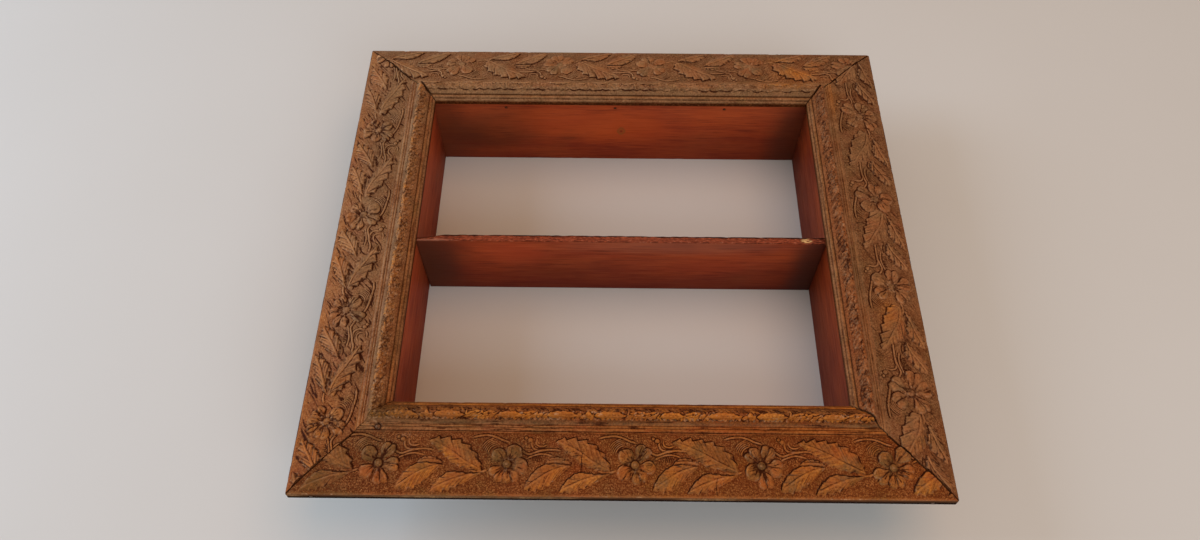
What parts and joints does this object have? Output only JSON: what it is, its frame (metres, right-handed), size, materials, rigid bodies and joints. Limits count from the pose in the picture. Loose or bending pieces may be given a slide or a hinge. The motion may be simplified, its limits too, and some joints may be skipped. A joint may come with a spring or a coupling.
{
  "type": "shadow box",
  "caption": "Open-backed wooden display box with a fixed middle shelf, faced with a wide antique picture-frame moulding of pressed flower and leaf ornament.",
  "frame": {"origin": "centre of the back rim of the box, on the surface that the box lies on", "axes": "+Z out of the frame's face, +X along the long side, +Y towards the top rail"},
  "size_m": [0.675, 0.615, 0.137],
  "materials": {
    "moulding": "softwood moulding under worn, tarnished bronze-gilt finish",
    "ornament": "pressed composition ornament with tarnished bronze-gilt finish",
    "bead_ornament": "pressed composition ornament with tarnished bronze-gilt finish",
    "box_wood": "red-brown stained softwood, satin",
    "shelf_wood": "red-brown stained softwood, satin",
    "iron": "dull iron"
  },
  "bodies": {
    "root": {"frame_rail_top": "moulding", "frame_rail_bottom": "moulding", "frame_stile_left": "moulding", "frame_stile_right": "moulding", "floral_band_top": "ornament", "floral_band_bottom": "ornament", "floral_band_left": "ornament", "floral_band_right": "ornament", "leaf_bead_top": "bead_ornament", "leaf_bead_bottom": "bead_ornament", "leaf_bead_left": "bead_ornament", "leaf_bead_right": "bead_ornament", "box_board_top": "box_wood", "box_board_bottom": "box_wood", "box_board_left": "box_wood", "box_board_right": "box_wood", "shelf": "shelf_wood", "mitre_nails": "iron", "corner_face_nail": "iron", "box_corner_nails": "iron", "shelf_nails": "iron", "frame_fixing_brads": "iron"}
  },
  "joints": []
}
